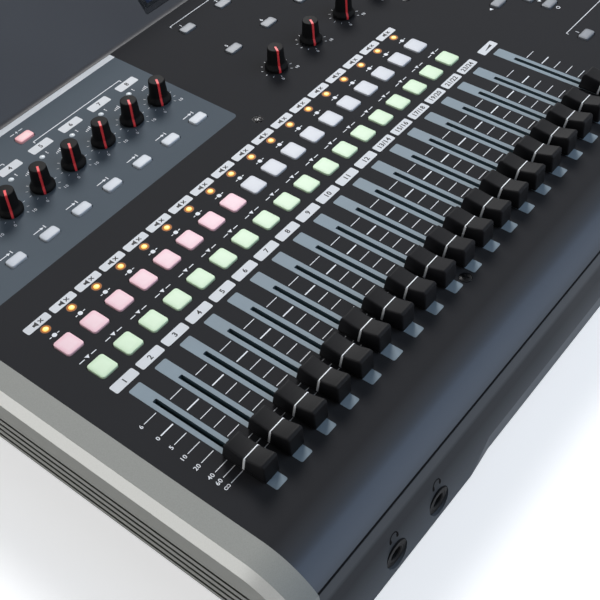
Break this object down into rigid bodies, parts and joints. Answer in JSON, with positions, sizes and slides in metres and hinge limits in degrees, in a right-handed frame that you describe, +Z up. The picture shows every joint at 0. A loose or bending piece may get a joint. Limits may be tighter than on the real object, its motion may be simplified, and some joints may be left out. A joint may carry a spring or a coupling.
{
  "type": "digital multitrack recorder",
  "caption": "Desktop digital multitrack recorder: a flat deck of sliding faders, keys, trim knobs and a data wheel, with a sloping display hood and sockets at the rear.",
  "frame": {"origin": "middle of the footprint, at the table", "axes": "+X right, +Y to the rear, +Z up"},
  "size_m": [0.514, 0.3404, 0.104],
  "materials": {
    "deck_black": "fine satin paint over moulded plastic",
    "tray_grey": "satin grey paint",
    "champagne": "champagne metallic paint",
    "window": "smoked, glossy",
    "module": "plain",
    "circuit_board": "solder mask",
    "plated_metal": "plated",
    "lamp": "lit amber lens",
    "socket_black": "moulded",
    "rubber": "matt",
    "screw": "black zinc",
    "rec_key": "translucent, lit from below",
    "select_key": "translucent, lit from below",
    "white_key": "satin",
    "transport_key": "satin",
    "fader_cap": "satin black with a white line",
    "knob_black": "satin black with a red pointer",
    "wheel": "satin"
  },
  "bodies": {
    "case": {"deck_panel": "deck_black", "display_hood": "deck_black", "bottom_tray": "tray_grey", "rear_panel": "tray_grey", "left_cheek": "champagne", "right_cheek": "champagne", "display_window": "window", "display_module": "module", "main_board": "circuit_board", "panel_board": "circuit_board", "fader_bodies": "plated_metal", "knob_pots": "plated_metal", "lamps": "lamp", "combo_sockets": "socket_black", "line_jacks": "socket_black", "data_sockets": "socket_black", "card_reader": "plated_metal", "feet": "rubber", "screws": "screw"},
    "fader_1": {"fader_1": "fader_cap"},
    "fader_2": {"fader_2": "fader_cap"},
    "fader_3": {"fader_3": "fader_cap"},
    "fader_4": {"fader_4": "fader_cap"},
    "fader_5": {"fader_5": "fader_cap"},
    "fader_6": {"fader_6": "fader_cap"},
    "fader_7": {"fader_7": "fader_cap"},
    "fader_8": {"fader_8": "fader_cap"},
    "fader_9": {"fader_9": "fader_cap"},
    "fader_10": {"fader_10": "fader_cap"},
    "fader_11": {"fader_11": "fader_cap"},
    "fader_12": {"fader_12": "fader_cap"},
    "fader_13": {"fader_13": "fader_cap"},
    "fader_14": {"fader_14": "fader_cap"},
    "fader_15": {"fader_15": "fader_cap"},
    "fader_16": {"fader_16": "fader_cap"},
    "fader_17": {"fader_17": "fader_cap"},
    "fader_18": {"fader_18": "fader_cap"},
    "fader_master": {"fader_master": "fader_cap"},
    "trim_knob_1": {"trim_knob_1": "knob_black"},
    "trim_knob_2": {"trim_knob_2": "knob_black"},
    "trim_knob_3": {"trim_knob_3": "knob_black"},
    "trim_knob_4": {"trim_knob_4": "knob_black"},
    "trim_knob_5": {"trim_knob_5": "knob_black"},
    "trim_knob_6": {"trim_knob_6": "knob_black"},
    "trim_knob_7": {"trim_knob_7": "knob_black"},
    "trim_knob_8": {"trim_knob_8": "knob_black"},
    "pan_knob": {"pan_knob": "knob_black"},
    "tone_knob": {"tone_knob": "knob_black"},
    "monitor_knob": {"monitor_knob": "knob_black"},
    "phones_knob": {"phones_knob": "knob_black"},
    "data_wheel": {"data_wheel": "wheel"},
    "rec_keys": {"rec_keys": "rec_key"},
    "select_keys": {"select_keys": "select_key"},
    "input_keys": {"input_keys": "white_key"},
    "menu_keys": {"menu_keys": "white_key"},
    "rewind_key": {"rewind_key": "transport_key"},
    "forward_key": {"forward_key": "transport_key"},
    "stop_key": {"stop_key": "transport_key"},
    "play_key": {"play_key": "transport_key"},
    "record_key": {"record_key": "transport_key"}
  },
  "joints": [
    {"name": "fader_1_slide", "type": "slide", "parent": "case", "child": "fader_1", "axis": [0, 1, 0], "range_m": [0, 0.045]},
    {"name": "fader_2_slide", "type": "slide", "parent": "case", "child": "fader_2", "axis": [0, 1, 0], "range_m": [0, 0.045]},
    {"name": "fader_3_slide", "type": "slide", "parent": "case", "child": "fader_3", "axis": [0, 1, 0], "range_m": [0, 0.045]},
    {"name": "fader_4_slide", "type": "slide", "parent": "case", "child": "fader_4", "axis": [0, 1, 0], "range_m": [0, 0.045]},
    {"name": "fader_5_slide", "type": "slide", "parent": "case", "child": "fader_5", "axis": [0, 1, 0], "range_m": [0, 0.045]},
    {"name": "fader_6_slide", "type": "slide", "parent": "case", "child": "fader_6", "axis": [0, 1, 0], "range_m": [-0.0019, 0.0431]},
    {"name": "fader_7_slide", "type": "slide", "parent": "case", "child": "fader_7", "axis": [0, 1, 0], "range_m": [-0.001, 0.044]},
    {"name": "fader_8_slide", "type": "slide", "parent": "case", "child": "fader_8", "axis": [0, 1, 0], "range_m": [0, 0.045]},
    {"name": "fader_9_slide", "type": "slide", "parent": "case", "child": "fader_9", "axis": [0, 1, 0], "range_m": [0, 0.045]},
    {"name": "fader_10_slide", "type": "slide", "parent": "case", "child": "fader_10", "axis": [0, 1, 0], "range_m": [0, 0.045]},
    {"name": "fader_11_slide", "type": "slide", "parent": "case", "child": "fader_11", "axis": [0, 1, 0], "range_m": [0, 0.045]},
    {"name": "fader_12_slide", "type": "slide", "parent": "case", "child": "fader_12", "axis": [0, 1, 0], "range_m": [0, 0.045]},
    {"name": "fader_13_slide", "type": "slide", "parent": "case", "child": "fader_13", "axis": [0, 1, 0], "range_m": [0, 0.045]},
    {"name": "fader_14_slide", "type": "slide", "parent": "case", "child": "fader_14", "axis": [0, 1, 0], "range_m": [0, 0.045]},
    {"name": "fader_15_slide", "type": "slide", "parent": "case", "child": "fader_15", "axis": [0, 1, 0], "range_m": [0, 0.045]},
    {"name": "fader_16_slide", "type": "slide", "parent": "case", "child": "fader_16", "axis": [0, 1, 0], "range_m": [0, 0.045]},
    {"name": "fader_17_slide", "type": "slide", "parent": "case", "child": "fader_17", "axis": [0, 1, 0], "range_m": [0, 0.045]},
    {"name": "fader_18_slide", "type": "slide", "parent": "case", "child": "fader_18", "axis": [0, 1, 0], "range_m": [0, 0.045]},
    {"name": "fader_master_slide", "type": "slide", "parent": "case", "child": "fader_master", "axis": [0, 1, 0], "range_m": [0, 0.045]},
    {"name": "trim_knob_1_turn", "type": "hinge", "parent": "case", "child": "trim_knob_1", "pos_m": [-0.21955, 0.06725, 0.056], "axis": [0, 0, 1], "range_deg": [-300, 0]},
    {"name": "trim_knob_2_turn", "type": "hinge", "parent": "case", "child": "trim_knob_2", "pos_m": [-0.199, 0.06725, 0.056], "axis": [0, 0, 1], "range_deg": [-300, 0]},
    {"name": "trim_knob_3_turn", "type": "hinge", "parent": "case", "child": "trim_knob_3", "pos_m": [-0.17845, 0.06725, 0.056], "axis": [0, 0, 1], "range_deg": [-300, 0]},
    {"name": "trim_knob_4_turn", "type": "hinge", "parent": "case", "child": "trim_knob_4", "pos_m": [-0.1579, 0.06725, 0.056], "axis": [0, 0, 1], "range_deg": [-300, 0]},
    {"name": "trim_knob_5_turn", "type": "hinge", "parent": "case", "child": "trim_knob_5", "pos_m": [-0.13735, 0.06725, 0.056], "axis": [0, 0, 1], "range_deg": [-300, 0]},
    {"name": "trim_knob_6_turn", "type": "hinge", "parent": "case", "child": "trim_knob_6", "pos_m": [-0.1168, 0.06725, 0.056], "axis": [0, 0, 1], "range_deg": [-300, 0]},
    {"name": "trim_knob_7_turn", "type": "hinge", "parent": "case", "child": "trim_knob_7", "pos_m": [-0.09625, 0.06725, 0.056], "axis": [0, 0, 1], "range_deg": [-300, 0]},
    {"name": "trim_knob_8_turn", "type": "hinge", "parent": "case", "child": "trim_knob_8", "pos_m": [-0.0757, 0.06725, 0.056], "axis": [0, 0, 1], "range_deg": [-300, 0]},
    {"name": "pan_knob_turn", "type": "hinge", "parent": "case", "child": "pan_knob", "pos_m": [-0.019, 0.03475, 0.056], "axis": [0, 0, 1], "range_deg": [-300, 0]},
    {"name": "tone_knob_turn", "type": "hinge", "parent": "case", "child": "tone_knob", "pos_m": [0.011, 0.03475, 0.056], "axis": [0, 0, 1], "range_deg": [-300, 0]},
    {"name": "monitor_knob_turn", "type": "hinge", "parent": "case", "child": "monitor_knob", "pos_m": [0.041, 0.03475, 0.056], "axis": [0, 0, 1], "range_deg": [-300, 0]},
    {"name": "phones_knob_turn", "type": "hinge", "parent": "case", "child": "phones_knob", "pos_m": [0.071, 0.03475, 0.056], "axis": [0, 0, 1], "range_deg": [-300, 0]},
    {"name": "data_wheel_turn", "type": "hinge", "parent": "case", "child": "data_wheel", "pos_m": [0.189, -0.03025, 0.056], "axis": [0, 0, 1], "continuous": true},
    {"name": "rec_keys_press", "type": "slide", "parent": "case", "child": "rec_keys", "axis": [0, 0, -1], "range_m": [0, 0.0009], "stiffness_N_per_m": 300, "springref_m": -0.001},
    {"name": "select_keys_press", "type": "slide", "parent": "case", "child": "select_keys", "axis": [0, 0, -1], "range_m": [0, 0.0009], "stiffness_N_per_m": 300, "springref_m": -0.001},
    {"name": "input_keys_press", "type": "slide", "parent": "case", "child": "input_keys", "axis": [0, 0, -1], "range_m": [0, 0.0009], "stiffness_N_per_m": 300, "springref_m": -0.001},
    {"name": "menu_keys_press", "type": "slide", "parent": "case", "child": "menu_keys", "axis": [0, 0, -1], "range_m": [0, 0.0009], "stiffness_N_per_m": 300, "springref_m": -0.001},
    {"name": "rewind_key_press", "type": "slide", "parent": "case", "child": "rewind_key", "axis": [0, 0, -1], "range_m": [0, 0.0009], "stiffness_N_per_m": 300, "springref_m": -0.001},
    {"name": "forward_key_press", "type": "slide", "parent": "case", "child": "forward_key", "axis": [0, 0, -1], "range_m": [0, 0.0009], "stiffness_N_per_m": 300, "springref_m": -0.001},
    {"name": "stop_key_press", "type": "slide", "parent": "case", "child": "stop_key", "axis": [0, 0, -1], "range_m": [0, 0.0009], "stiffness_N_per_m": 300, "springref_m": -0.001},
    {"name": "play_key_press", "type": "slide", "parent": "case", "child": "play_key", "axis": [0, 0, -1], "range_m": [0, 0.0009], "stiffness_N_per_m": 300, "springref_m": -0.001},
    {"name": "record_key_press", "type": "slide", "parent": "case", "child": "record_key", "axis": [0, 0, -1], "range_m": [0, 0.0009], "stiffness_N_per_m": 300, "springref_m": -0.001}
  ]
}
